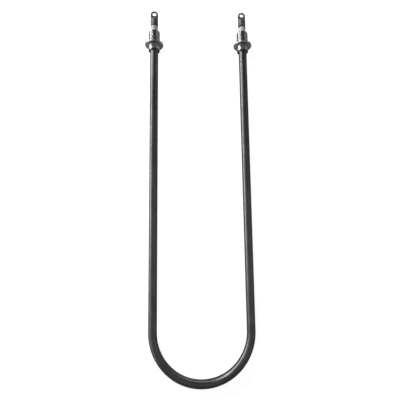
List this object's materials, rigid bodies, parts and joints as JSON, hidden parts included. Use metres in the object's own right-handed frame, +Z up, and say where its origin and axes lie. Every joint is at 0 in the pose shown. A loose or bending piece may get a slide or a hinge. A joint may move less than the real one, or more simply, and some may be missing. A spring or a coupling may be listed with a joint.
{
  "type": "tubular heating element",
  "caption": "U-shaped tubular heating element with a flanged threaded nipple, ceramic bead and eyed contact lug on each leg.",
  "frame": {"origin": "halfway between the two legs, on the plane of the flanges' seating faces and on the tubes' axes", "axes": "+Y along the legs from the heated loop out through the threads to the terminals, X from leg to leg with the left leg at -X, +Z up with the loop lying level"},
  "size_m": [0.1155, 0.3905, 0.0194],
  "materials": {
    "oxidised_steel": "satin",
    "plated_steel": "gloss",
    "pin_steel": "satin",
    "resistance_wire": "satin",
    "pressed_magnesia": "matte",
    "white_ceramic": "satin",
    "seal_silicone": "matte"
  },
  "bodies": {
    "root": {"sheath_tube": "oxidised_steel", "magnesia_filling": "pressed_magnesia", "resistance_coil": "resistance_wire", "left_threaded_nipple": "plated_steel", "left_terminal_pin": "pin_steel", "left_end_seal": "seal_silicone", "left_ceramic_bead": "white_ceramic", "left_contact_lug": "plated_steel", "right_threaded_nipple": "plated_steel", "right_terminal_pin": "pin_steel", "right_end_seal": "seal_silicone", "right_ceramic_bead": "white_ceramic", "right_contact_lug": "plated_steel"}
  },
  "joints": []
}
